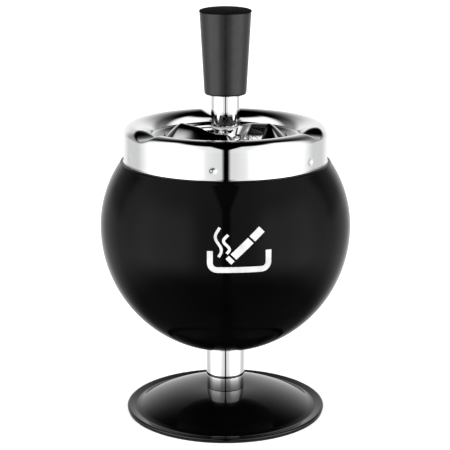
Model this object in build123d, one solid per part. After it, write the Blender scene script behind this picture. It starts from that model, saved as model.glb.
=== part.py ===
from build123d import *
import math
import os

# Push-down spinning table ashtray on a pedestal foot.
# Millimetres, +Z up, origin on the table under the middle of the foot.

# Sheet metal
SHEET = 0.8

# Foot and pedestal
FOOT_R = 48.5
FOOT_CREASE_R = 43.1
FOOT_TOP_Z = 11.0
PAD_THICK = 0.8
PAD_HOLE_R = 20.0
PAD_INSET = 0.5
TUBE_R = 9.3
TUBE_WALL = 1.0

# Ball bowl
BALL_R = 60.0
BALL_MID_Z = 92.9
BALL_LOW = 61.0
BALL_HIGH = 57.0
BALL_FLAT_Z = 32.6
LEDGE_Z = 124.9
NECK_R = 46.8
NECK_TOP_Z = 134.0
LEDGE_FILLET = 0.9

# Lid dish: skirt, rim rolled down to a crease, and a shallow funnel to the mouth
LID_R = 48.4
CREST_R = 43.5
CREST_Z = 142.3
ROLL_IN_R = 9.2
CREASE_R = 35.0
MOUTH_R = 29.7
MOUTH_Z = 136.2
REST_COUNT = 3
REST_ANGLE = 95.0
REST_R = 9.0
REST_DEPTH = 3.3
GRIP_COUNT = 6
GRIP_ANGLE = 23.5
GRIP_Z = 129.6
GRIP_R = 1.8
GRIP_DEPTH = 0.5

# Spinner disc
DISC_R = 31.0
DISC_TOP_Z = 135.0
VANE_COUNT = 2
VANE_R = 7.3
VANE_OUT_R = 22.0
VANE_IN_R = 9.5
VANE_SINK = 3.0

# Spinner hub
HUB_HOLE_R = 4.6
HUB_BORE_R = 3.9
HUB_FLANGE_R = 7.8
HUB_WAIST_R = 5.5
HUB_TOP_R = 6.2
HUB_TOP_Z = 140.7
HUB_LOW_Z = 133.2
HUB_RIVET = 1.0
HUB_FLANGE_THICK = 1.4
HUB_SLOPE = 0.8
VANE_GAP = 0.4
NUT_INSET = 0.2

# Bush between the hub and the push tube
BUSH_BORE_R = 4.9
BUSH_GAP = 0.1
BUSH_SPIGOT = 5.0

# Plunger
STEM_R = 6.8
STEM_WALL = 0.7
STEM_LOW_Z = 141.5
STEM_TOP_Z = 176.0
KNOB_LOW_R = 10.0
KNOB_TOP_R = 12.1
KNOB_LOW_Z = 156.4
KNOB_TOP_Z = 195.0
CAP_TOP_Z = 197.2
CAP_LIP = 0.2
WEB_THICK = 3.0
WELL_R = 9.5
KNOB_EDGE = 1.0
CAP_RIM = 0.5
CAP_RING_WALL = 1.5
CAP_RING_TALL = 4.0
PLUG_TALL = 10.0
PLUG_FLOOR = 1.0

# Twisted-bar drive: the disc makes half a turn in one full push
STROKE = 16.0
TWIST_PER_MM = 180.0 / STROKE
BAR_WIDE = 5.0
BAR_THICK = 2.0
SLOT_PLAY = 0.25
BAR_TOP_Z = 141.0

# Bracket that carries the spindle under the dish
STRAP_THICK = 1.2
STRAP_WIDE = 9.0
LEG_R = 32.4
LEG_LOW_Z = 117.5
PLATE_Z = 105.2
PLATE_R = 11.0
TAB_R = 36.3
PLATE_EDGE = 2.0
LEG_COUNT = 3

# Spindle
COLLAR_R = 3.5
COLLAR_TALL = 1.2
COLLAR_TOP_Z = PLATE_Z + COLLAR_TALL
STUD_R = 2.0
SMALL_FLATS = 7.0
SMALL_THICK = 3.2
SMALL_WASHER = 0.6
SMALL_WASHER_R = 4.6
CLIP_R = 3.6
STUD_TALL = 2.6
SEAT_EDGE = 2.0

# Return spring
SPRING_R = 5.2
WIRE_R = 0.55
SPRING_TURNS = 7

# Fasteners
ROD_R = 3.0
ROD_HOLE_R = 3.2
ROD_BEVEL = 0.5
THREAD_PAST_NUT = 1.0
NUT_FLATS = 10.0
NUT_THICK = 5.0
WASHER_R = 8.5
WASHER_THICK = 1.2
SCREW_R = 1.5
SEAL_THICK = 1.0
SCREW_BITE = 8.0
SCREW_PLAY = 0.3
HEAD_R = 3.2
HEAD_TALL = 2.4
HEAD_EDGE = 1.0
RECESS_LONG = 3.4
RECESS_WIDE = 0.7

# Play that keeps touching shapes apart where they move
RUNNING = 0.08
LOOSE = 0.1
CUT = 1.0

ON_BASE = (Align.CENTER, Align.CENTER, Align.MIN)
UPRIGHT = Plane.XZ


def rod(radius, low, high):
    """A solid cylinder about the Z axis."""
    return Pos(0, 0, low) * Cylinder(radius, high - low, align=ON_BASE)


def ring(inner, outer, low, high):
    """A plain ring about the Z axis."""
    return rod(outer, low, high) - rod(inner, low - CUT, high + CUT)


def turned(*lines):
    """Revolve a closed outline, drawn as (radius, height), about the Z axis."""
    edges = [edge for line in lines for edge in line.edges()]
    return revolve(UPRIGHT * make_face(Wire(edges)), Axis.Z)


def around(count, first_angle, shape):
    """Copies of a shape spaced evenly about the Z axis."""
    return [Rot(0, 0, first_angle + i * 360 / count) * shape for i in range(count)]


def hex_nut(hole, flats, thick, low):
    """A hexagon nut with its outer corners turned off at both ends."""
    blank = extrude(RegularPolygon(flats / 2, 6, major_radius=False), thick)
    corner = flats / math.sqrt(3)
    shoulder = chamfer(Cylinder(corner, thick, align=ON_BASE).edges(), corner - flats / 2)
    return Pos(0, 0, low) * (blank & shoulder) - rod(hole, low - CUT, low + thick + CUT)


# Foot and pedestal

def foot_filled(inset):
    """The foot's dome as a filled shape, its skin moved in by inset."""
    rise = FOOT_TOP_Z - PAD_THICK - SHEET
    dome_r = ((FOOT_CREASE_R - TUBE_R) ** 2 + rise ** 2) / (2 * rise)
    middle_z = FOOT_TOP_Z - dome_r
    skin_r = dome_r - inset
    flange_z = PAD_THICK + SHEET - inset
    crease_r = TUBE_R + math.sqrt(skin_r ** 2 - (flange_z - middle_z) ** 2)
    top_z = FOOT_TOP_Z - inset
    lean = math.acos((crease_r - TUBE_R) / skin_r)
    halfway = (lean + math.pi / 2) / 2
    on_dome = (TUBE_R + skin_r * math.cos(halfway), middle_z + skin_r * math.sin(halfway))
    dome = ThreePointArc((crease_r, flange_z), on_dome, (TUBE_R, top_z))
    return turned(
        dome,
        Polyline((TUBE_R, top_z), (0, top_z), (0, flange_z), (crease_r, flange_z)),
    )


def foot_disc():
    """Spun steel foot: flat flange, domed middle, hole for the tie rod."""
    flange_top = PAD_THICK + SHEET
    shell = foot_filled(0) + rod(FOOT_R, PAD_THICK, flange_top)
    hollow = foot_filled(SHEET)
    hole = rod(ROD_HOLE_R, 0, FOOT_TOP_Z + CUT)
    return shell - hollow - hole


def foot_pad():
    """Soft black pad ring glued under the flange."""
    return ring(PAD_HOLE_R, FOOT_R - PAD_INSET, 0, PAD_THICK)


def pedestal_tube():
    """Chromed tube between the foot and the ball."""
    return ring(TUBE_R - TUBE_WALL, TUBE_R, FOOT_TOP_Z, BALL_FLAT_Z)


# Tie rod and its nuts

def tie_rod():
    """Threaded rod that pulls foot, tube and ball together."""
    low = FOOT_TOP_Z - SHEET - WASHER_THICK - NUT_THICK - THREAD_PAST_NUT
    high = BALL_FLAT_Z + SHEET + SEAL_THICK + WASHER_THICK + NUT_THICK + THREAD_PAST_NUT
    return chamfer(rod(ROD_R, low, high).edges(), ROD_BEVEL)


def foot_washer():
    high = FOOT_TOP_Z - SHEET
    return ring(ROD_HOLE_R, WASHER_R, high - WASHER_THICK, high)


def foot_nut():
    high = FOOT_TOP_Z - SHEET - WASHER_THICK
    return hex_nut(ROD_R, NUT_FLATS, NUT_THICK, high - NUT_THICK)


def sealing_washer():
    """Fibre washer that keeps ash out of the pedestal."""
    low = BALL_FLAT_Z + SHEET
    return ring(ROD_HOLE_R, WASHER_R, low, low + SEAL_THICK)


def bowl_washer():
    low = BALL_FLAT_Z + SHEET + SEAL_THICK
    return ring(ROD_HOLE_R, WASHER_R, low, low + WASHER_THICK)


def bowl_nut():
    low = BALL_FLAT_Z + SHEET + SEAL_THICK + WASHER_THICK
    return hex_nut(ROD_R, NUT_FLATS, NUT_THICK, low)


# Ball bowl

def ellipse_side(wide, tall, start_z, end_z):
    """Part of an ellipse about the ball's middle, from one height to another."""
    steps = 6
    start = math.asin((start_z - BALL_MID_Z) / tall)
    end = math.asin((end_z - BALL_MID_Z) / tall)
    angles = [start + (end - start) * i / steps for i in range(steps + 1)]
    points = [(wide * math.cos(a), BALL_MID_Z + tall * math.sin(a)) for a in angles]
    tangents = [(-wide * math.sin(a), tall * math.cos(a)) for a in (start, end)]
    return Spline(points, tangents=tangents)


def bowl_filled(inset, neck_top):
    """The ball and neck as a filled shape, its skin moved in by inset."""
    flat_z = BALL_FLAT_Z + inset
    ledge_z = LEDGE_Z - inset
    neck_r = NECK_R - inset
    lower = ellipse_side(BALL_R - inset, BALL_LOW - inset, flat_z, BALL_MID_Z)
    upper = ellipse_side(BALL_R - inset, BALL_HIGH - inset, BALL_MID_Z, ledge_z)
    close = Polyline(
        upper @ 1,
        (neck_r, ledge_z),
        (neck_r, neck_top),
        (0, neck_top),
        (0, flat_z),
        lower @ 0,
    )
    return turned(lower, upper, close)


def bowl():
    """Steel ball with a ledge and a straight neck for the lid."""
    outside = bowl_filled(0, NECK_TOP_Z)
    corner = outside.edges().filter_by(GeomType.CIRCLE).filter_by(
        lambda edge: edge.radius > NECK_R + CUT and edge.center().Z > LEDGE_Z - SHEET)
    outside = fillet(corner, LEDGE_FILLET)
    hole = rod(ROD_HOLE_R, 0, BALL_MID_Z)
    return outside - bowl_filled(SHEET, NECK_TOP_Z + CUT) - hole


# Lid dish

def roll_middle_z():
    return CREST_Z - ROLL_IN_R


def funnel_slope():
    """Rise of the funnel per millimetre of radius."""
    drop_in = math.sqrt(ROLL_IN_R ** 2 - (CREST_R - CREASE_R) ** 2)
    crease_z = roll_middle_z() + drop_in
    return (crease_z - MOUTH_Z) / (CREASE_R - MOUTH_R)


def funnel_z(radius, inset):
    """Height of the funnel's skin, moved in by inset, at a radius."""
    slope = funnel_slope()
    return MOUTH_Z + slope * (radius - MOUTH_R) - inset * math.hypot(1, slope)


def crease_r(inset):
    """Radius where the rolled rim's inner curve meets the funnel."""
    slope = funnel_slope()
    lift = funnel_z(CREST_R, inset) - roll_middle_z()
    skin_r = ROLL_IN_R - inset
    spread = 1 + slope ** 2
    root = math.sqrt((lift * slope) ** 2 - spread * (lift ** 2 - skin_r ** 2))
    return CREST_R - (lift * slope + root) / spread


def lid_filled(inset, low, inner_r):
    """Everything under the lid's skin, its skin moved in by inset."""
    skirt_r = LID_R - inset
    corner_r = LID_R - CREST_R - inset
    crest_z = CREST_Z - inset
    shoulder_z = crest_z - corner_r
    fold_r = crease_r(inset)
    inner_z = funnel_z(inner_r, inset)
    skin_r = ROLL_IN_R - inset
    half_in = math.asin((CREST_R - fold_r) / skin_r) / 2
    diagonal = corner_r / math.sqrt(2)
    outer_roll = ThreePointArc(
        (skirt_r, shoulder_z),
        (CREST_R + diagonal, shoulder_z + diagonal),
        (CREST_R, crest_z),
    )
    inner_roll = ThreePointArc(
        (CREST_R, crest_z),
        (CREST_R - skin_r * math.sin(half_in), roll_middle_z() + skin_r * math.cos(half_in)),
        (fold_r, funnel_z(fold_r, inset)),
    )
    rest = Polyline(
        inner_roll @ 1,
        (inner_r, inner_z),
        (inner_r, low),
        (skirt_r, low),
        (skirt_r, shoulder_z),
    )
    return turned(outer_roll, inner_roll, rest)


def rest_troughs(inset):
    """Round-bottomed troughs across the rim that hold a cigarette each."""
    axis_z = CREST_Z - REST_DEPTH + REST_R
    trough = Pos(CREST_R, 0, axis_z) * Rot(0, 90, 0) * Cylinder(REST_R + inset, 4 * REST_R)
    return around(REST_COUNT, REST_ANGLE, trough)


def grip_dimples(inset):
    """Small dents pressed into the skirt that steady the lid on the neck."""
    dent = Pos(LID_R + GRIP_R - GRIP_DEPTH, 0, GRIP_Z) * Sphere(GRIP_R + inset)
    return around(GRIP_COUNT, GRIP_ANGLE, dent)


def top_dish():
    """Pressed chromed lid: skirt, rolled rim with rests, funnel and mouth."""
    outside = lid_filled(0, LEDGE_Z, MOUTH_R)
    outside = outside - rest_troughs(0) - grip_dimples(0)
    inside = lid_filled(SHEET, LEDGE_Z - CUT, MOUTH_R - CUT)
    inside = inside - rest_troughs(SHEET) - grip_dimples(SHEET)
    return outside - inside


# Bracket, spindle and spring under the dish

def support_bracket():
    """Three bent legs welded under the funnel, joined by a middle plate."""
    below = STRAP_THICK
    section = Polyline(
        (TAB_R, funnel_z(TAB_R, SHEET)),
        (LEG_R, funnel_z(LEG_R, SHEET)),
        (LEG_R, LEG_LOW_Z),
        (PLATE_R, PLATE_Z),
        (STUD_R, PLATE_Z),
        (STUD_R, PLATE_Z - below),
        (PLATE_R + below / 4, PLATE_Z - below),
        (LEG_R + below, LEG_LOW_Z - below / 2),
        (LEG_R + below, funnel_z(LEG_R + below, SHEET) - below),
        (TAB_R, funnel_z(TAB_R, SHEET) - below),
        close=True,
    )
    full = turned(section)
    strap = Pos(TAB_R / 2, 0, PLATE_Z) * Box(TAB_R + PLATE_R, STRAP_WIDE, 3 * TAB_R)
    legs = around(LEG_COUNT, REST_ANGLE + 180 / LEG_COUNT, strap)
    middle = rod(PLATE_R + PLATE_EDGE, PLATE_Z - 2 * below, PLATE_Z + 2 * below)
    return full & (legs[0] + legs[1:] + middle)


def twisted(play):
    """The spindle's twisted flat bar, made larger all round by play."""
    low = COLLAR_TOP_Z
    section = Rectangle(BAR_WIDE + 2 * play, BAR_THICK + 2 * play).face()
    length = BAR_TOP_Z - low
    bar = Solid.extrude_linear_with_rotation(
        section, (0, 0, 0), (0, 0, length), length * TWIST_PER_MM)
    return Pos(0, 0, low) * Part(bar.wrapped)


def spindle():
    """Threaded shank, collar, twisted bar and a round stud for the clip."""
    shank_low = PLATE_Z - STRAP_THICK - SMALL_WASHER - SMALL_THICK - THREAD_PAST_NUT
    shank = rod(STUD_R, shank_low, COLLAR_TOP_Z)
    collar = rod(COLLAR_R, PLATE_Z, COLLAR_TOP_Z)
    stud = rod(SCREW_R, BAR_TOP_Z, BAR_TOP_Z + STUD_TALL)
    return shank + collar + twisted(0) + stud


def spindle_washer():
    high = PLATE_Z - STRAP_THICK
    return ring(STUD_R + LOOSE, SMALL_WASHER_R, high - SMALL_WASHER, high)


def spindle_nut():
    high = PLATE_Z - STRAP_THICK - SMALL_WASHER
    return hex_nut(STUD_R, SMALL_FLATS, SMALL_THICK, high - SMALL_THICK)


def spring_seat():
    """Washer that spreads the spring's load on the bracket plate."""
    return ring(COLLAR_R + LOOSE, SPRING_R + SEAT_EDGE, PLATE_Z, PLATE_Z + SHEET)


def return_spring():
    """Compression spring between the bracket plate and the spinner hub."""
    low = PLATE_Z + SHEET + WIRE_R
    high = HUB_LOW_Z - WIRE_R
    pitch = (high - low) / SPRING_TURNS
    path = Pos(0, 0, low) * Helix(pitch, high - low, SPRING_R)
    wire = Plane(origin=path @ 0, z_dir=path % 0) * Circle(WIRE_R)
    return sweep(wire, path=path, is_frenet=True)


def stop_washer():
    """Washer that the drive nut rises against."""
    return ring(SCREW_R + LOOSE, SMALL_WASHER_R, BAR_TOP_Z, BAR_TOP_Z + SMALL_WASHER)


def retaining_clip():
    """Open clip in the spindle's stud above the stop washer."""
    low = BAR_TOP_Z + SMALL_WASHER
    mouth = Pos(CLIP_R, 0, low) * Box(2 * CLIP_R, SCREW_R, 2 * CUT)
    return ring(SCREW_R, CLIP_R, low, low + SMALL_WASHER) - mouth


# Spinner

def vane(inset):
    """One hollow vane, from the rim inward and down past the hub's side."""
    skin_r = VANE_R - inset
    outer = Vector(-VANE_OUT_R, 0, DISC_TOP_Z)
    inner = Vector(0, -VANE_IN_R, DISC_TOP_Z - VANE_SINK)
    run = inner - outer
    barrel = extrude(Plane(origin=outer, z_dir=run) * Circle(skin_r), run.length)
    return barrel + Pos(outer) * Sphere(skin_r) + Pos(inner) * Sphere(skin_r)


def vanes(inset):
    """Both vanes, standing clear of the hub's flange."""
    hub_space = rod(HUB_FLANGE_R + VANE_GAP + inset, HUB_LOW_Z, CREST_Z)
    return [blade - hub_space for blade in around(VANE_COUNT, 0, vane(inset))]


def spinner_disc():
    """Pressed chromed disc under the dish's mouth with two raised vanes."""
    low = DISC_TOP_Z - SHEET
    plate = rod(DISC_R, low, DISC_TOP_Z)
    below = rod(2 * DISC_R, low - 2 * VANE_R, low)
    shell = plate + vanes(0)
    shell = shell - vanes(SHEET)
    return shell - below - rod(HUB_HOLE_R, low - CUT, CREST_Z)


def spinner_hub():
    """Waisted hub riveted through the disc; the drive nut sits in its bore."""
    low = HUB_LOW_Z
    flange_z = DISC_TOP_Z + HUB_FLANGE_THICK
    outline = Polyline(
        (HUB_BORE_R, low),
        (HUB_HOLE_R + HUB_RIVET, low),
        (HUB_HOLE_R + HUB_RIVET, DISC_TOP_Z - SHEET),
        (HUB_HOLE_R, DISC_TOP_Z - SHEET),
        (HUB_HOLE_R, DISC_TOP_Z),
        (HUB_FLANGE_R, DISC_TOP_Z),
        (HUB_WAIST_R + HUB_SLOPE, flange_z),
        (HUB_WAIST_R, flange_z + HUB_SLOPE),
        (HUB_TOP_R, HUB_TOP_Z),
        (HUB_BORE_R, HUB_TOP_Z),
        close=True,
    )
    return turned(outline)


def drive_nut():
    """Plastic nut whose twisted slot rides the spindle."""
    return rod(HUB_BORE_R, HUB_LOW_Z + NUT_INSET, HUB_TOP_Z) - twisted(SLOT_PLAY)


def pivot_bush():
    """Nylon bush that lets the push tube stand still while the hub turns."""
    flange_z = STEM_LOW_Z - BUSH_GAP
    spigot_r = STEM_R - STEM_WALL - RUNNING
    flange = ring(BUSH_BORE_R, HUB_TOP_R, HUB_TOP_Z, flange_z)
    return flange + ring(BUSH_BORE_R, spigot_r, flange_z, STEM_LOW_Z + BUSH_SPIGOT)


# Plunger

def push_tube():
    """Chromed stem under the knob, its lower edge rounded in."""
    tube = ring(STEM_R - STEM_WALL, STEM_R, STEM_LOW_Z, STEM_TOP_Z)
    lower = tube.edges().filter_by(GeomType.CIRCLE).group_by(Axis.Z)[0]
    return fillet(lower.sort_by(lambda edge: edge.radius)[-1:], STEM_WALL / 2)


def tube_plug():
    """Plug in the top of the stem that the knob screw bites into."""
    low = STEM_TOP_Z - PLUG_TALL
    return rod(STEM_R - STEM_WALL, low, STEM_TOP_Z) - rod(SCREW_R, low + PLUG_FLOOR, STEM_TOP_Z + CUT)


def knob():
    """Tapered plastic push knob with a socket below and a screw well above."""
    web_z = STEM_TOP_Z + WEB_THICK
    outline = Polyline(
        (SCREW_R + SCREW_PLAY, STEM_TOP_Z),
        (STEM_R, STEM_TOP_Z),
        (STEM_R, KNOB_LOW_Z),
        (KNOB_LOW_R, KNOB_LOW_Z),
        (KNOB_TOP_R, KNOB_TOP_Z),
        (WELL_R, KNOB_TOP_Z),
        (WELL_R, web_z),
        (SCREW_R + SCREW_PLAY, web_z),
        close=True,
    )
    body = turned(outline)
    outer_edges = body.edges().filter_by(GeomType.CIRCLE).group_by(Axis.Z)[0]
    return fillet(outer_edges.sort_by(lambda line: line.radius)[-1:], KNOB_EDGE)


def knob_cap():
    """Domed cap that closes the top of the knob, with a plug ring below."""
    lip_r = KNOB_TOP_R + CAP_LIP
    plug_r = WELL_R - LOOSE
    rise = CAP_TOP_Z - KNOB_TOP_Z - CAP_RIM
    dome_r = (lip_r ** 2 + rise ** 2) / (2 * rise)
    dome = Pos(0, 0, CAP_TOP_Z - dome_r) * Sphere(dome_r)
    plug = ring(plug_r - CAP_RING_WALL, plug_r, KNOB_TOP_Z - CAP_RING_TALL, KNOB_TOP_Z)
    return (rod(lip_r, KNOB_TOP_Z, CAP_TOP_Z) & dome) + plug


def knob_screw():
    """Pan-head screw that holds the knob on the stem, with a cross recess."""
    seat_z = STEM_TOP_Z + WEB_THICK
    head_z = seat_z + HEAD_TALL
    head = fillet(rod(HEAD_R, seat_z, head_z).edges().group_by(Axis.Z)[-1], HEAD_EDGE)
    shank = rod(SCREW_R, STEM_TOP_Z - SCREW_BITE, seat_z)
    slot = Pos(0, 0, head_z) * Box(RECESS_LONG, RECESS_WIDE, HEAD_TALL)
    return head + shank - slot - Rot(0, 0, 90) * slot


NODES = {
    "foot_disc": foot_disc,
    "foot_pad": foot_pad,
    "pedestal_tube": pedestal_tube,
    "tie_rod": tie_rod,
    "foot_washer": foot_washer,
    "foot_nut": foot_nut,
    "sealing_washer": sealing_washer,
    "bowl_washer": bowl_washer,
    "bowl_nut": bowl_nut,
    "bowl": bowl,
    "top_dish": top_dish,
    "support_bracket": support_bracket,
    "spindle": spindle,
    "spindle_washer": spindle_washer,
    "spindle_nut": spindle_nut,
    "spring_seat": spring_seat,
    "return_spring": return_spring,
    "stop_washer": stop_washer,
    "retaining_clip": retaining_clip,
    "spinner_disc": spinner_disc,
    "spinner_hub": spinner_hub,
    "drive_nut": drive_nut,
    "pivot_bush": pivot_bush,
    "push_tube": push_tube,
    "tube_plug": tube_plug,
    "knob": knob,
    "knob_cap": knob_cap,
    "knob_screw": knob_screw,
}

os.makedirs("parts", exist_ok=True)
for name, make in NODES.items():
    export_step(make(), f"parts/{name}.step")
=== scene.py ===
import math

import bmesh
import bpy
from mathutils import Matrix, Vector


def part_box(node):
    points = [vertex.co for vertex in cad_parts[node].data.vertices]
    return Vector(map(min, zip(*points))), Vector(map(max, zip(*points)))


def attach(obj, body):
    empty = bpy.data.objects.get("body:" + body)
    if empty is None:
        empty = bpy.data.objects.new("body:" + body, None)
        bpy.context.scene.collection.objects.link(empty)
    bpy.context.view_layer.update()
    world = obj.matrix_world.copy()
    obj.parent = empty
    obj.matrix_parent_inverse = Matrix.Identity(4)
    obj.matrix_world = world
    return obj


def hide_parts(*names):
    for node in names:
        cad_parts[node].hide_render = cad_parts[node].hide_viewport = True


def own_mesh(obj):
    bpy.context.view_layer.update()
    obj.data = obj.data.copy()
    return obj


MM = 0.001
SHEET = 0.8 * MM

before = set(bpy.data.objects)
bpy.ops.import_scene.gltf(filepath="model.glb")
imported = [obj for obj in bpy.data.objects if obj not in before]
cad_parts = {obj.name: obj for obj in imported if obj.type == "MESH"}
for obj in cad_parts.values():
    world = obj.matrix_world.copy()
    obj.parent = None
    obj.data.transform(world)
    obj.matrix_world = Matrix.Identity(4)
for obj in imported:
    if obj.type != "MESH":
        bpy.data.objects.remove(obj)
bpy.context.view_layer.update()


# Sizes read from the frame

def low_z(node):
    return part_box(node)[0].z


def high_z(node):
    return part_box(node)[1].z


def radius(node):
    """Half the width of a round node."""
    low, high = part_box(node)
    return (high.y - low.y) / 2


def height(node):
    return high_z(node) - low_z(node)


# Outlines, as rows of (radius, height)

def arc(middle, wide, tall, start, end, count):
    """Points on an ellipse about a middle point, from one angle to another, in degrees."""
    points = []
    for i in range(count + 1):
        angle = math.radians(start + (end - start) * i / count)
        points.append((middle[0] + wide * math.cos(angle), middle[1] + tall * math.sin(angle)))
    return points


def line(start, end, count):
    """Points on a straight line, its start left out."""
    return [
        (start[0] + (end[0] - start[0]) * i / count, start[1] + (end[1] - start[1]) * i / count)
        for i in range(1, count + 1)
    ]


def smooth_min(a, b, blend):
    """The lower of two values, rounded over where they are closer than blend."""
    mix = min(max(0.5 + 0.5 * (b - a) / blend, 0), 1)
    return b + (a - b) * mix - blend * mix * (1 - mix)


# Mesh building

def finish_mesh(name, work, sharp_angle):
    """Turn a bmesh into an object with soft curves and crisp edges."""
    bmesh.ops.remove_doubles(work, verts=work.verts, dist=0.001 * MM)
    bmesh.ops.recalc_face_normals(work, faces=work.faces)
    mesh = bpy.data.meshes.new(name)
    work.to_mesh(mesh)
    work.free()
    mesh.polygons.foreach_set("use_smooth", [True] * len(mesh.polygons))
    mesh.set_sharp_from_angle(angle=math.radians(sharp_angle))
    piece = bpy.data.objects.new(name, mesh)
    bpy.context.collection.objects.link(piece)
    return piece


def lathe(name, outline, steps=192, place=None, sharp_angle=40):
    """Sweep a closed outline round the Z axis; place may shift each point of the skin."""
    work = bmesh.new()
    columns = []
    for step in range(steps):
        angle = 2 * math.pi * step / steps
        column = []
        for row, (ring_r, z) in enumerate(outline):
            if place:
                ring_r, z = place(row, ring_r, z, angle)
            column.append(work.verts.new((ring_r * math.cos(angle), ring_r * math.sin(angle), z)))
        columns.append(column)
    rows = len(outline)
    for step in range(steps):
        here = columns[step]
        there = columns[(step + 1) % steps]
        for row in range(rows):
            above = (row + 1) % rows
            work.faces.new((here[row], there[row], there[above], here[above]))
    return finish_mesh(name, work, sharp_angle)


# Node-built materials

class Finish:
    """A material with its shader and short ways to add texture nodes."""

    def __init__(self, name, color, roughness, metallic=0.0, specular=0.5):
        self.material = bpy.data.materials.new(name)
        self.material.use_nodes = True
        self.nodes = self.material.node_tree.nodes
        self.links = self.material.node_tree.links
        self.shader = self.nodes["Principled BSDF"]
        self.shader.inputs["Base Color"].default_value = (*color, 1)
        self.shader.inputs["Roughness"].default_value = roughness
        self.shader.inputs["Metallic"].default_value = metallic
        self.shader.inputs["Specular IOR Level"].default_value = specular
        self.place = self.nodes.new("ShaderNodeTexCoord").outputs["Object"]

    def stretched(self, scale):
        """Object coordinates scaled along each axis."""
        node = self.nodes.new("ShaderNodeMapping")
        node.inputs["Scale"].default_value = scale
        self.links.new(self.place, node.inputs["Vector"])
        return node.outputs["Vector"]

    def noise(self, scale, detail=4.0, place=None):
        node = self.nodes.new("ShaderNodeTexNoise")
        node.inputs["Scale"].default_value = scale
        node.inputs["Detail"].default_value = detail
        self.links.new(place or self.place, node.inputs["Vector"])
        return node.outputs["Fac"]

    def spread(self, value, low, high, start=0.3, end=0.7):
        """Map a 0-to-1 pattern onto a range of values."""
        node = self.nodes.new("ShaderNodeMapRange")
        node.inputs["From Min"].default_value = start
        node.inputs["From Max"].default_value = end
        node.inputs["To Min"].default_value = low
        node.inputs["To Max"].default_value = high
        self.links.new(value, node.inputs["Value"])
        return node.outputs["Result"]

    def times(self, a, b):
        node = self.nodes.new("ShaderNodeMath")
        node.operation = "MULTIPLY"
        self.links.new(a, node.inputs[0])
        self.links.new(b, node.inputs[1])
        return node.outputs["Value"]

    def height_share(self, low, high):
        """0 at one height of the object and 1 at another."""
        split = self.nodes.new("ShaderNodeSeparateXYZ")
        self.links.new(self.place, split.inputs["Vector"])
        return self.spread(split.outputs["Z"], 0, 1, low, high)

    def tint(self, value, color_a, color_b, start=0.3, end=0.7):
        """Colour the surface from one colour to another by a pattern."""
        ramp = self.nodes.new("ShaderNodeValToRGB")
        ramp.color_ramp.elements[0].position = start
        ramp.color_ramp.elements[0].color = (*color_a, 1)
        ramp.color_ramp.elements[1].position = end
        ramp.color_ramp.elements[1].color = (*color_b, 1)
        self.links.new(value, ramp.inputs["Fac"])
        self.links.new(ramp.outputs["Color"], self.shader.inputs["Base Color"])

    def rough(self, value):
        self.links.new(value, self.shader.inputs["Roughness"])

    def bump(self, value, depth, strength=1.0):
        node = self.nodes.new("ShaderNodeBump")
        node.inputs["Distance"].default_value = depth
        node.inputs["Strength"].default_value = strength
        self.links.new(value, node.inputs["Height"])
        self.links.new(node.outputs["Normal"], self.shader.inputs["Normal"])


def black_lacquer(name, specular):
    """Deep gloss black paint with faint orange peel and a few duller patches."""
    finish = Finish(name, (0.0015, 0.0015, 0.0018), 0.05, specular=specular)
    patches = finish.noise(35)
    finish.tint(patches, (0.001, 0.001, 0.0012), (0.002, 0.002, 0.0024))
    finish.rough(finish.spread(patches, 0.035, 0.075))
    finish.bump(finish.noise(420, 2), 0.004 * MM, 0.35)
    return finish.material


def chrome(name, waviness):
    """Mirror chrome with the faint waves and smears of pressed sheet."""
    finish = Finish(name, (0.93, 0.935, 0.945), 0.03, metallic=1.0)
    smears = finish.noise(60, 6)
    finish.tint(smears, (0.9, 0.905, 0.915), (0.96, 0.965, 0.97))
    finish.rough(finish.spread(smears, 0.015, 0.06))
    finish.bump(finish.noise(90, 2), waviness, 0.4)
    return finish.material


def stem_chrome(name, low, high):
    """Chrome that is darker and duller in speckles towards the foot of the stem."""
    finish = Finish(name, (0.93, 0.935, 0.945), 0.03, metallic=1.0)
    speckle = finish.spread(finish.noise(900, 6), 1, 0, 0.42, 0.6)
    # darker, duller speckles, strongest at the stem's foot and fading out higher up
    low_dark_speckle = finish.times(finish.height_share(high, low), speckle)
    finish.tint(low_dark_speckle, (0.95, 0.955, 0.96), (0.16, 0.16, 0.16), 0.05, 0.8)
    finish.rough(finish.spread(low_dark_speckle, 0.02, 0.25, 0, 1))
    finish.bump(finish.noise(700, 3), 0.004 * MM, 0.3)
    return finish.material


def satin_plastic(name):
    """Moulded black plastic with a fine eroded grain."""
    finish = Finish(name, (0.003, 0.003, 0.0032), 0.26)
    finish.tint(finish.noise(120), (0.002, 0.002, 0.0022), (0.004, 0.004, 0.0043))
    finish.rough(finish.spread(finish.noise(300, 5), 0.22, 0.32))
    finish.bump(finish.noise(2600, 3), 0.01 * MM, 0.3)
    return finish.material


def matt_plastic(name):
    """Dull black plastic of the cap, with a coarser grain."""
    finish = Finish(name, (0.004, 0.004, 0.004), 0.75, specular=0.03)
    finish.tint(finish.noise(90), (0.003, 0.003, 0.003), (0.006, 0.006, 0.006))
    finish.rough(finish.spread(finish.noise(260, 5), 0.65, 0.85))
    finish.bump(finish.noise(1800, 3), 0.015 * MM, 0.35)
    return finish.material


def zinc_plate(name):
    """Bright zinc plating with a fine drawn texture."""
    finish = Finish(name, (0.62, 0.64, 0.66), 0.25, metallic=1.0)
    drawn = finish.noise(60, 6, finish.stretched((30, 30, 2)))
    finish.tint(drawn, (0.5, 0.52, 0.54), (0.72, 0.74, 0.76))
    finish.rough(finish.spread(drawn, 0.18, 0.38))
    finish.bump(drawn, 0.01 * MM, 0.4)
    return finish.material


def spring_wire(name):
    finish = Finish(name, (0.3, 0.3, 0.31), 0.3, metallic=1.0)
    finish.tint(finish.noise(500), (0.2, 0.2, 0.21), (0.42, 0.42, 0.43))
    finish.rough(finish.spread(finish.noise(900), 0.22, 0.4))
    return finish.material


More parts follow.
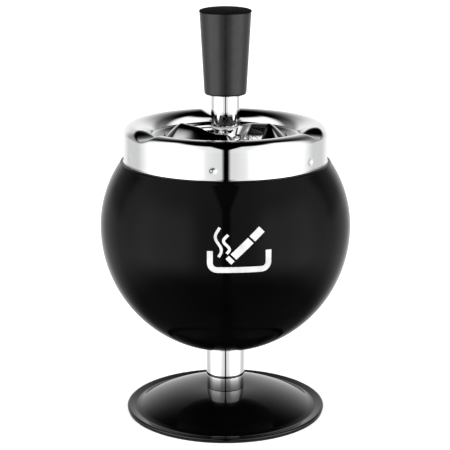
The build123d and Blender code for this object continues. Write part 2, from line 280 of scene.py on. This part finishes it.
def nylon(name):
    finish = Finish(name, (0.8, 0.79, 0.74), 0.45)
    finish.tint(finish.noise(200), (0.74, 0.73, 0.68), (0.84, 0.83, 0.79))
    finish.bump(finish.noise(1500), 0.01 * MM, 0.4)
    return finish.material


def foam(name):
    finish = Finish(name, (0.02, 0.02, 0.02), 0.9, specular=0.2)
    cells = finish.noise(2200, 3)
    finish.tint(cells, (0.008, 0.008, 0.008), (0.035, 0.035, 0.035))
    finish.bump(cells, 0.08 * MM, 0.8)
    return finish.material


def red_fibre(name):
    finish = Finish(name, (0.3, 0.07, 0.05), 0.75, specular=0.3)
    threads = finish.noise(900, 6)
    finish.tint(threads, (0.2, 0.045, 0.03), (0.4, 0.11, 0.07))
    finish.bump(threads, 0.03 * MM, 0.6)
    return finish.material


def silver_ink(name):
    """Screen-printed silver ink, slightly uneven."""
    finish = Finish(name, (0.72, 0.72, 0.73), 0.4, specular=0.5)
    cloudy = finish.noise(160, 5)
    finish.tint(cloudy, (0.6, 0.6, 0.61), (0.82, 0.82, 0.83))
    finish.rough(finish.spread(cloudy, 0.32, 0.5))
    finish.bump(finish.noise(2500, 2), 0.005 * MM, 0.4)
    return finish.material


def dress(piece, material, slot, body, *nodes):
    """Give a new piece its material and body, and hide the nodes it stands for; its slot name is not used.
    """
    piece.data.materials.clear()
    piece.data.materials.append(material)
    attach(piece, body)
    if nodes:
        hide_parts(*nodes)


def repaint(material, *nodes):
    """Give CAD nodes that keep their shape a better material."""
    for node in nodes:
        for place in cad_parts[node].material_slots:
            place.material = material


# Ball bowl

BALL_MID_Z = 92.9 * MM
BALL_LOW = 61.0 * MM
BALL_HIGH = 57.0 * MM
LEDGE_Z = low_z("top_dish")
BALL_R = radius("bowl")
NECK_R = 46.8 * MM
LIP_TALL = 0.4 * MM
ROD_HOLE_R = 3.2 * MM


def ball_skin(inset, count):
    """One side of the ball's sheet, from the rod hole up to the end of the neck."""
    flat_z = low_z("bowl") + inset
    ledge_z = LEDGE_Z - inset
    low = math.degrees(math.asin((flat_z - BALL_MID_Z) / (BALL_LOW - inset)))
    high = math.degrees(math.asin((ledge_z - BALL_MID_Z) / (BALL_HIGH - inset)))
    middle = (0, BALL_MID_Z)
    bend_turn = 1.2
    bend_r = 1.1 * MM
    lower = arc(middle, BALL_R - inset, BALL_LOW - inset, low, 0, count)
    upper = arc(middle, BALL_R - inset, BALL_HIGH - inset, 0, high - bend_turn, count)
    bend = arc((upper[-1][0] - bend_r, ledge_z - bend_r), bend_r, bend_r, 35, 90, 6)
    foot = arc((NECK_R - inset + bend_r / 2, ledge_z + bend_r / 2), bend_r / 2, bend_r / 2, 270, 180, 5)
    top = (NECK_R - inset, high_z("bowl") - LIP_TALL)
    return [(ROD_HOLE_R, flat_z)] + lower + upper[1:] + bend + foot + line(foot[-1], top, 6)


def ball():
    """The ball with its ledge and neck, one unbroken shell."""
    outer = ball_skin(0, 48)
    inner = ball_skin(SHEET, 32)
    lip = arc((NECK_R - SHEET / 2, outer[-1][1]), SHEET / 2, LIP_TALL, 0, 180, 6)
    piece = lathe("ball_shell", outer + lip[1:-1] + inner[::-1], steps=256)
    dress(piece, black_lacquer("ball_lacquer", 0.095), "ball_lacquer", "base", "bowl")


# Foot

FOOT_CREASE_R = 43.1 * MM
FOOT_R = radius("foot_disc")
CREASE_WIDE = 0.9 * MM
BEAD_WIDE = 1.0 * MM
BEAD_TALL = 1.5 * MM
TUBE_R = radius("pedestal_tube")


def foot_skin(inset, count):
    """One side of the dome, from the tie rod's hole out to the flange's crease."""
    low = low_z("foot_disc")
    rise = height("foot_disc") - SHEET
    dome_r = ((FOOT_CREASE_R - TUBE_R) ** 2 + rise ** 2) / (2 * rise)
    middle = (TUBE_R, high_z("foot_disc") - dome_r)
    skin_r = dome_r - inset
    flange_z = low + SHEET - inset
    lean = math.degrees(math.asin((flange_z - middle[1]) / skin_r))
    crease_turn = 1.2
    dome = arc(middle, skin_r, skin_r, 90, lean + crease_turn, count)
    return [(ROD_HOLE_R, high_z("foot_disc") - inset)] + dome


def foot():
    """Domed disc with a flat flange and a rounded bead round its edge."""
    low = low_z("foot_disc")
    flange_z = low + SHEET
    outer = foot_skin(0, 40)
    blend = line(outer[-1], (FOOT_CREASE_R + CREASE_WIDE, flange_z), 3)
    bead_z = low + BEAD_TALL / 2
    edge = arc((FOOT_R - BEAD_WIDE, bead_z), BEAD_WIDE, BEAD_TALL / 2, 90, -90, 24)
    inner = foot_skin(SHEET, 24)
    outline = outer + blend + line(blend[-1], edge[0], 6) + edge[1:] + inner[::-1]
    piece = lathe("foot_shell", outline, steps=256, sharp_angle=60)
    dress(piece, black_lacquer("foot_lacquer", 0.5), "foot_lacquer", "base", "foot_disc")


def pedestal():
    """Tube between the foot and the ball, its cut ends a little rounded."""
    wall = 1.0 * MM
    bevel = 0.25 * MM
    low = low_z("pedestal_tube")
    high = high_z("pedestal_tube")
    outline = arc((TUBE_R - bevel, low + bevel), bevel, bevel, -90, 0, 4)
    outline += arc((TUBE_R - bevel, high - bevel), bevel, bevel, 0, 90, 4)
    outline += [(TUBE_R - wall, high), (TUBE_R - wall, low)]
    piece = lathe("pedestal_sleeve", outline)
    dress(piece, chrome("pedestal_chrome", 0.002 * MM), "tube_chrome", "base", "pedestal_tube")


# Lid dish

LID_R = radius("top_dish")
CREST_Z = high_z("top_dish")
CREST_R = 43.5 * MM
ROLL_IN_R = 9.2 * MM
CREASE_R = 35.0 * MM
MOUTH_R = 29.7 * MM
MOUTH_Z = 136.2 * MM
REST_COUNT = 3
REST_ANGLE = 95
REST_R = 9.0 * MM
REST_DEPTH = 3.3 * MM
REST_BLEND = 1.3 * MM
GRIP_COUNT = 6
GRIP_ANGLE = 23.5
GRIP_Z = 129.6 * MM
GRIP_R = 1.15 * MM
GRIP_DEPTH = 0.45 * MM
HEM = 0.35 * MM


def dish_skin(inset, count):
    """One side of the lid's sheet, from the skirt's edge over the rim to the mouth."""
    corner_r = LID_R - CREST_R - inset
    shoulder_z = CREST_Z - inset - corner_r
    turn = math.degrees(math.asin((CREST_R - CREASE_R) / ROLL_IN_R))
    roll_z = CREST_Z - ROLL_IN_R
    fold_turn = 3
    fold_wide = 0.3 * MM
    skirt = [(LID_R - inset, LEDGE_Z)]
    skirt += line(skirt[0], (LID_R - inset, shoulder_z), count)
    outer_roll = arc((CREST_R, shoulder_z), corner_r, corner_r, 0, 90, count // 2)
    skin_r = ROLL_IN_R - inset
    inner_roll = arc((CREST_R, roll_z), skin_r, skin_r, 90, 90 + turn - fold_turn, count)
    crease_z = roll_z + math.sqrt(ROLL_IN_R ** 2 - (CREST_R - CREASE_R) ** 2)
    fold = (CREASE_R - fold_wide, crease_z - inset)
    mouth = (MOUTH_R, MOUTH_Z - inset)
    return skirt + outer_roll[1:] + inner_roll[1:] + [fold] + line(fold, mouth, count // 4)


def nearest(angle, count, first):
    """Angle in radians from the closest of several spots spaced evenly round the axis."""
    pitch = 2 * math.pi / count
    return (angle - math.radians(first) + pitch / 2) % pitch - pitch / 2


DISH_OUTER = dish_skin(0, 54)
DISH_ROWS = len(DISH_OUTER)


def press_dish(row, ring_r, z, angle):
    """Press the cigarette rests, the grip dents and the hem into the plain dish."""
    across = ring_r * math.sin(nearest(angle, REST_COUNT, REST_ANGLE))
    trough_z = CREST_Z - REST_DEPTH + across ** 2 / (2 * REST_R)
    if row >= DISH_ROWS:
        trough_z -= SHEET
    z = smooth_min(z, trough_z, REST_BLEND)
    along = LID_R * nearest(angle, GRIP_COUNT, GRIP_ANGLE)
    away = math.hypot(along, z - GRIP_Z) / GRIP_R
    if ring_r > LID_R - 2 * SHEET:
        ring_r -= GRIP_DEPTH * math.exp(-away ** 2)
        ring_r += HEM * math.exp(-((z - LEDGE_Z - HEM) / HEM) ** 2)
    return ring_r, z


def dish():
    """Lid pressed from one sheet, its two skins made from the same outline."""
    outline = DISH_OUTER + dish_skin(SHEET, 16)[::-1]
    piece = lathe("dish_shell", outline, steps=480, place=press_dish)
    dress(piece, chrome("dish_chrome", 0.006 * MM), "chrome_plate", "lid", "top_dish")


# Spinner disc

DISC_R = radius("spinner_disc")
DISC_LOW_Z = low_z("spinner_disc")
HUB_HOLE_R = 4.6 * MM
HUB_FLANGE_R = 7.8 * MM
VANE_COUNT = 2
VANE_OUTER = Vector((-20.5 * MM, 0.5 * MM))
VANE_INNER = Vector((-0.8 * MM, -9.4 * MM))
VANE_TALL = 7.5 * MM
VANE_SHORT = 5.2 * MM
VANE_WIDE = 9.5 * MM
VANE_NARROW = 6.5 * MM
VANE_CREST_R = 2.0 * MM
VANE_BOW = 1.2 * MM
VANE_BLEND = 0.8 * MM
HUB_CLEARANCE = 0.3 * MM
HUB_SIDE_SLOPE = 1.4


def vane_height(spot):
    """Height of one vane over the disc: a curved ridge from the rim to the hub's front."""
    run = VANE_INNER - VANE_OUTER
    share = min(max((spot - VANE_OUTER).dot(run) / run.length_squared, 0), 1)
    bow = Vector((run.y, -run.x)).normalized() * (VANE_BOW * math.sin(math.pi * share))
    away = (spot - VANE_OUTER - run * share - bow).length
    wide = VANE_WIDE + (VANE_NARROW - VANE_WIDE) * share
    tall = VANE_TALL + (VANE_SHORT - VANE_TALL) * share
    fall = math.hypot(away, VANE_CREST_R) - VANE_CREST_R
    whole_fall = math.hypot(wide, VANE_CREST_R) - VANE_CREST_R
    return tall * max(1 - fall / whole_fall, 0)


def press_disc(row, ring_r, z, angle):
    """Raise both vanes, clear of the hub's flange and of the rim."""
    tallest = 0
    for i in range(VANE_COUNT):
        turned = angle + 2 * math.pi * i / VANE_COUNT
        spot = Vector((ring_r * math.cos(turned), ring_r * math.sin(turned)))
        tallest = max(tallest, vane_height(spot))
    beside_hub = max(ring_r - HUB_FLANGE_R - HUB_CLEARANCE, 0) * HUB_SIDE_SLOPE
    return ring_r, z + max(smooth_min(tallest, beside_hub, VANE_BLEND), 0)


def disc():
    """Round plate with both vanes pressed up from it."""
    step = 0.3 * MM
    top_z = DISC_LOW_Z + SHEET
    top = line((HUB_HOLE_R - step, top_z), (DISC_R, top_z), 84)
    under = line((DISC_R + step, DISC_LOW_Z), (HUB_HOLE_R, DISC_LOW_Z), 84)
    piece = lathe("disc_shell", top + under, steps=360, place=press_disc)
    dress(piece, chrome("disc_chrome", 0.001 * MM), "chrome_plate", "spinner", "spinner_disc")


def hub():
    """Waisted hub with a ring at its base, drawn as one turned piece."""
    bore_r = 3.9 * MM
    waist_r = 5.5 * MM
    top_r = 6.2 * MM
    ring_r = 0.7 * MM
    flare_r = 1 * MM
    edge = 0.3 * MM
    disc_z = DISC_LOW_Z + SHEET
    flange_z = disc_z + 2 * ring_r
    top_z = high_z("spinner_hub")
    low = low_z("spinner_hub")
    rivet_r = HUB_HOLE_R + flare_r
    outline = [(bore_r, low), (rivet_r, low), (rivet_r, DISC_LOW_Z), (HUB_HOLE_R, DISC_LOW_Z)]
    outline += [(HUB_HOLE_R, disc_z)]
    outline += arc((HUB_FLANGE_R - ring_r, disc_z + ring_r), ring_r, ring_r, -90, 90, 10)
    outline += arc((waist_r + flare_r, flange_z + flare_r), flare_r, flare_r, 270, 180, 6)
    outline += arc((top_r - edge, top_z - edge), edge, edge, 0, 90, 5)
    outline += [(bore_r, top_z)]
    piece = lathe("hub_turned", outline)
    dress(piece, chrome("hub_chrome", 0.002 * MM), "tube_chrome", "spinner", "spinner_hub")


# Plunger

def stem():
    """Push tube with its lower edge rolled in."""
    outer = radius("push_tube")
    wall = 0.7 * MM
    roll_r = 0.6 * MM
    # height over which the stem's foot is darkened in speckles
    dark_foot_tall = 9 * MM
    low = low_z("push_tube")
    high = high_z("push_tube")
    outline = [(outer - wall, low)]
    outline += arc((outer - roll_r, low + roll_r), roll_r, roll_r, -80, 0, 8)
    outline += line(outline[-1], (outer, high), 24)
    outline += [(outer - wall, high)]
    piece = lathe("stem_tube", outline)
    finish = stem_chrome("stem_chrome", low, low + dark_foot_tall)
    dress(piece, finish, "tube_chrome", "plunger", "push_tube")


def knob():
    """Tapered grip with rounded ends and a hollow inside."""
    low = low_z("knob")
    high = high_z("knob")
    top_r = radius("knob")
    low_r = 10.0 * MM
    socket_r = radius("push_tube")
    well_r = 9.5 * MM
    web_z = high_z("push_tube")
    web_thick = 3 * MM
    web_top = web_z + web_thick
    screw_r = 1.8 * MM
    edge = 1.1 * MM
    top_edge = 0.3 * MM
    outline = [(socket_r, web_z), (socket_r, low)]
    outline += arc((low_r - edge, low + edge), edge, edge, -90, -2, 8)
    outline += line(outline[-1], (top_r, high - top_edge), 24)
    outline += arc((top_r - top_edge, high - top_edge), top_edge, top_edge, 0, 90, 4)
    outline += [(well_r, high), (well_r, web_top), (screw_r, web_top), (screw_r, web_z)]
    piece = lathe("knob_grip", outline)
    dress(piece, satin_plastic("knob_plastic"), "black_plastic", "plunger", "knob")


def knob_cap():
    """Domed cap with a plug ring that sits in the knob's well."""
    lip_r = radius("knob_cap")
    top = high_z("knob_cap")
    seat = high_z("knob")
    plug_low = low_z("knob_cap")
    plug_r = 9.4 * MM
    ring_wall = 1.5 * MM
    edge = 0.35 * MM
    lip_tall = 0.5 * MM
    rim_z = seat + lip_tall
    outline = [(0, seat), (plug_r - ring_wall, seat), (plug_r - ring_wall, plug_low)]
    outline += [(plug_r, plug_low), (plug_r, seat)]
    outline += arc((lip_r - edge, seat + edge), edge, edge, -90, 0, 5)
    outline += [(lip_r * math.cos(a), rim_z + (top - rim_z) * math.sin(a))
                for a in (math.pi / 2 * i / 14 for i in range(1, 15))]
    piece = lathe("knob_cap_dome", outline, sharp_angle=55)
    dress(piece, matt_plastic("cap_plastic"), "black_plastic", "plunger", "knob_cap")


# Return spring, which on the real ashtray shortens as the knob is pushed; here it is one fixed coil

def spring():
    """Round wire wound into a coil."""
    low = low_z("return_spring")
    high = high_z("return_spring")
    wire_r = 0.55 * MM
    coil_r = radius("return_spring") - wire_r
    turns = 7
    steps = 40 * turns
    around = 10
    work = bmesh.new()
    rings = []
    for i in range(steps + 1):
        angle = 2 * math.pi * turns * i / steps
        z = low + wire_r + (high - low - 2 * wire_r) * i / steps
        ring = []
        for k in range(around):
            turn = 2 * math.pi * k / around
            out = coil_r + wire_r * math.cos(turn)
            up = z + wire_r * math.sin(turn)
            ring.append(work.verts.new((out * math.cos(angle), out * math.sin(angle), up)))
        rings.append(ring)
    for here, there in zip(rings, rings[1:]):
        for k in range(around):
            above = (k + 1) % around
            work.faces.new((here[k], there[k], there[above], here[above]))
    work.faces.new(rings[0])
    work.faces.new(rings[-1])
    piece = finish_mesh("spring_coil", work, 40)
    dress(piece, spring_wire("spring_wire"), "spring_steel", "lid", "return_spring")
    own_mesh(piece)


# Generic ashtray pictogram printed on the ball

SIGN_TURN = 6.0
SIGN_Z = 97.3 * MM
SIGN_WIDE = 29.0 * MM
SIGN_TALL = 23.0 * MM
STROKE = 2.6 * MM
INK_THICK = 0.08 * MM


def on_ball(across, up, lift):
    """A point of the sign laid on the ball, from its place on a flat sheet."""
    tilt = math.asin((SIGN_Z - BALL_MID_Z) / BALL_HIGH) + up / BALL_R
    turn = math.radians(SIGN_TURN) + across / (BALL_R * math.cos(tilt))
    tall = BALL_HIGH if tilt > 0 else BALL_LOW
    out = (BALL_R + lift) * math.cos(tilt)
    return Vector((out * math.sin(turn), -out * math.cos(turn), BALL_MID_Z + (tall + lift) * math.sin(tilt)))


def ink_stroke(work, path, wide):
    """Lay a band of ink along a path."""
    rails = []
    for i, spot in enumerate(path):
        before = path[max(i - 1, 0)]
        after = path[min(i + 1, len(path) - 1)]
        run = (after - before).normalized()
        side = Vector((-run.y, run.x)) * (wide / 2)
        rail = [on_ball(*(spot + side * k), lift) for lift in (INK_THICK, -INK_THICK) for k in (-1, 0, 1)]
        loop = rail[:3] + rail[:2:-1]
        rails.append([work.verts.new(point) for point in loop])
    for here, there in zip(rails, rails[1:]):
        for k in range(6):
            above = (k + 1) % 6
            work.faces.new((here[k], there[k], there[above], here[above]))
    work.faces.new(rails[0])
    work.faces.new(rails[-1])


def dense(corners, spacing=0.8 * MM):
    """Points along straight runs between corners."""
    path = [corners[0]]
    for start, end in zip(corners, corners[1:]):
        count = max(int((end - start).length / spacing), 1)
        path += [start.lerp(end, i / count) for i in range(1, count + 1)]
    return path


def tray_path():
    """Rounded U of the tray's outline."""
    half = SIGN_WIDE / 2 - STROKE / 2
    floor = -SIGN_TALL / 2 + STROKE / 2
    bend = 3.2 * MM
    left = arc((-half + bend, floor + bend), bend, bend, 180, 270, 10)
    right = arc((half - bend, floor + bend), bend, bend, 270, 360, 10)
    rim_share = 0.38
    rim = floor + SIGN_TALL * rim_share
    corners = [(-half, rim)] + left + right + [(half, rim)]
    return dense([Vector(corner) for corner in corners])


def smoke_path(across, low, high):
    """Two easy waves rising from the ember."""
    count = 24
    swing = 1.3 * MM
    waves = 1.1
    path = []
    for i in range(count + 1):
        share = i / count
        aside = swing * math.sin(2 * math.pi * waves * share)
        path.append(Vector((across + aside, low + (high - low) * share)))
    return path


def sign():
    """Tray, slanted cigarette in three parts, and two waves of smoke."""
    ash_share = 0.10
    paper_share = 0.66
    gap_share = 0.05
    work = bmesh.new()
    ink_stroke(work, tray_path(), STROKE)
    ember = Vector((-5.0 * MM, -6.4 * MM))
    tip = Vector((10.2 * MM, 8.4 * MM))
    wide = 3.6 * MM
    ash_end = ember.lerp(tip, ash_share)
    paper_start = ember.lerp(tip, ash_share + gap_share)
    paper_end = ember.lerp(tip, paper_share)
    filter_start = ember.lerp(tip, paper_share + gap_share)
    ink_stroke(work, dense([ember, ash_end]), wide)
    ink_stroke(work, dense([paper_start, paper_end]), wide)
    ink_stroke(work, dense([filter_start, tip]), wide)
    ink_stroke(work, smoke_path(-9.4 * MM, -4.2 * MM, 9.6 * MM), STROKE / 2)
    ink_stroke(work, smoke_path(-5.8 * MM, -2.6 * MM, 6.2 * MM), STROKE / 2)
    piece = finish_mesh("ball_pictogram", work, 40)
    dress(piece, silver_ink("silver_ink"), "ball_lacquer", "base")


# Studio

# Levels of the tent's light; shares are of the level that they dim
WALL_LEVEL = 1.0
NEAR_GAP_LEVEL = 0.8
WALL_LOW_LEVEL = 1.02
NEAR_GAP_LOW_LEVEL = 0.76
BACK_LEVEL = 0.9
BACK_CORNER_SHARE = 0.35
REAR_LEVEL = 1.0
REAR_CORNER_LEVEL = 0.65
LAMP_LEVEL = 1.1

# Sideways sizes in the tent, as sines of the angle from the middle
GAP_OFF_CENTRE = 0.012
GAP_WIDENING = 0.15

# Where the view is taken from
VIEW_SIDE = -0.2 * MM
VIEW_BACK = 700 * MM
VIEW_HIGH = 270.8 * MM
VIEW_TILT = 75.725
VIEW_LENS = 120


def wash():
    """Soft square lamp overhead, which mirrors don't show."""
    side = 3.2
    power = 46
    data = bpy.data.lights.new("wash", "AREA")
    data.shape = "SQUARE"
    data.size = side
    data.energy = power
    lamp = bpy.data.objects.new("wash", data)
    lamp.location = (0, 0.3, 1.9)
    lamp.visible_glossy = False
    bpy.context.collection.objects.link(lamp)


class Tent:
    """The studio's brightness by direction, as nodes that read where a ray goes."""

    def __init__(self, world):
        world.use_nodes = True
        self.nodes = world.node_tree.nodes
        self.links = world.node_tree.links
        split = self.nodes.new("ShaderNodeSeparateXYZ")
        self.links.new(self.nodes.new("ShaderNodeTexCoord").outputs["Generated"], split.inputs[0])
        self.x, self.y, self.z = split.outputs
        self.aside = self.sums("ABSOLUTE", self.shifted(self.x, -GAP_OFF_CENTRE))
        self.turn = self.sums("ABSOLUTE", self.sums("ARCTAN2", self.x, self.y))

    def sums(self, operation, a, b=None):
        node = self.nodes.new("ShaderNodeMath")
        node.operation = operation
        self.links.new(a, node.inputs[0])
        if b is not None:
            self.links.new(b, node.inputs[1])
        return node.outputs["Value"]

    def shifted(self, value, step):
        node = self.nodes.new("ShaderNodeMath")
        self.links.new(value, node.inputs[0])
        node.inputs[1].default_value = step
        return node.outputs["Value"]

    def ease(self, value, start, end, low, high):
        """Go smoothly from low to high as a value goes from start to end."""
        node = self.nodes.new("ShaderNodeMapRange")
        node.interpolation_type = "SMOOTHSTEP"
        self.links.new(value, node.inputs["Value"])
        for name, number in zip(("From Min", "From Max", "To Min", "To Max"), (start, end, low, high)):
            node.inputs[name].default_value = number
        return node.outputs["Result"]

    def blend(self, share, a, b):
        node = self.nodes.new("ShaderNodeMix")
        for socket, value in zip((node.inputs[0], node.inputs[2], node.inputs[3]), (share, a, b)):
            self.links.new(value, socket)
        return node.outputs[0]


def front_walls(tent, gap, near, level):
    """Nothing in the gap in front, one level beside it, and the full level further aside."""
    beside_gap = tent.ease(gap, 0.03, 0.1, 0, near)
    further = tent.ease(tent.aside, 0.1, 0.6, 0, level - near)
    return tent.sums("ADD", beside_gap, further)


def rear_to_front(tent, rear, front):
    """One light behind the object, and another from its sides round to its front."""
    return tent.blend(tent.ease(tent.turn, 1.1, 1.45, 0, 1), rear, front)


def upper_light(tent):
    """Bright walls either side of a gap in front, a greyer back wall, and nothing overhead."""
    gap = tent.sums("SUBTRACT", tent.aside, tent.ease(tent.z, 0.45, 0.92, 0, GAP_WIDENING))
    top_edge = tent.ease(tent.z, 0.84, 0.92, 1, 0)
    walls = tent.sums("MULTIPLY", front_walls(tent, gap, NEAR_GAP_LEVEL, WALL_LEVEL), top_edge)
    corners = tent.ease(tent.turn, 0.4, 0.8, 1, BACK_CORNER_SHARE)
    back = tent.sums("MULTIPLY", tent.ease(tent.z, 0.1, 0.85, BACK_LEVEL, 0), corners)
    return rear_to_front(tent, back, walls)


def lower_light(tent):
    """Lower part of the tent: the same gap, bright all round, and dim straight below."""
    sides = front_walls(tent, tent.aside, NEAR_GAP_LOW_LEVEL, WALL_LOW_LEVEL)
    rear = tent.ease(tent.turn, 0.3, 0.8, REAR_LEVEL, REAR_CORNER_LEVEL)
    below = tent.ease(tent.z, -0.7, -0.32, 0.1, 1)
    return tent.sums("MULTIPLY", rear_to_front(tent, rear, sides), below)


def side_lights(tent):
    """Two lamps, left and right of the front: chrome is white there already, black pieces show them."""
    aside = tent.ease(tent.aside, 0.35, 0.65, 0, LAMP_LEVEL)
    lamps = tent.sums("MULTIPLY", aside, tent.ease(tent.y, -0.3, 0.2, 1, 0))
    lamps = tent.sums("MULTIPLY", lamps, tent.ease(tent.z, 0.2, 0.6, 1, 0.2))
    return tent.sums("MULTIPLY", lamps, tent.ease(tent.z, -0.6, -0.3, 0, 1))


def sky():
    """White tent that the chrome mirrors."""
    world = bpy.data.worlds.new("tent")
    bpy.context.scene.world = world
    tent = Tent(world)
    tent_light = tent.blend(tent.ease(tent.z, -0.1, 0.1, 0, 1), lower_light(tent), upper_light(tent))
    light = tent.sums("ADD", tent_light, side_lights(tent))
    background = tent.nodes["Background"]
    background.inputs["Color"].default_value = (1, 1, 1, 1)
    tent.links.new(light, background.inputs["Strength"])


def floor():
    """Plain pale table."""
    reach = 8.0
    mesh = bpy.data.meshes.new("table")
    corners = [(-reach, -reach, 0), (reach, -reach, 0), (reach, reach, 0), (-reach, reach, 0)]
    mesh.from_pydata(corners, [], [(0, 1, 2, 3)])
    table = bpy.data.objects.new("table", mesh)
    bpy.context.collection.objects.link(table)
    finish = Finish("table_white", (0.95, 0.95, 0.95), 0.9, specular=0.1)
    finish.tint(finish.noise(3), (0.94, 0.94, 0.94), (0.96, 0.96, 0.96))
    finish.shader.inputs["Emission Color"].default_value = (1, 1, 1, 1)
    finish.shader.inputs["Emission Strength"].default_value = 0.42
    mesh.materials.append(finish.material)
    table.visible_glossy = False


def camera():
    """The view: straight on from the front, looking a little down."""
    data = bpy.data.cameras.new("view")
    data.lens = VIEW_LENS
    data.sensor_width = 36
    data.clip_end = 50
    view = bpy.data.objects.new("view", data)
    view.location = (VIEW_SIDE, -VIEW_BACK, VIEW_HIGH)
    view.rotation_euler = (math.radians(VIEW_TILT), 0, 0)
    bpy.context.collection.objects.link(view)
    bpy.context.scene.camera = view


ball()
foot()
pedestal()
dish()
disc()
hub()
stem()
knob()
knob_cap()
spring()
sign()
zinc = zinc_plate("zinc_plate")
repaint(zinc, "tie_rod", "foot_washer", "foot_nut", "bowl_washer", "bowl_nut")
repaint(zinc, "support_bracket", "spindle", "spindle_washer", "spindle_nut", "spring_seat")
repaint(zinc, "stop_washer", "retaining_clip", "tube_plug", "knob_screw")
repaint(nylon("nylon"), "drive_nut", "pivot_bush")
repaint(foam("foam"), "foot_pad")
repaint(red_fibre("fibre"), "sealing_washer")
sky()
floor()
wash()
camera()
bpy.context.scene.view_settings.view_transform = "Standard"
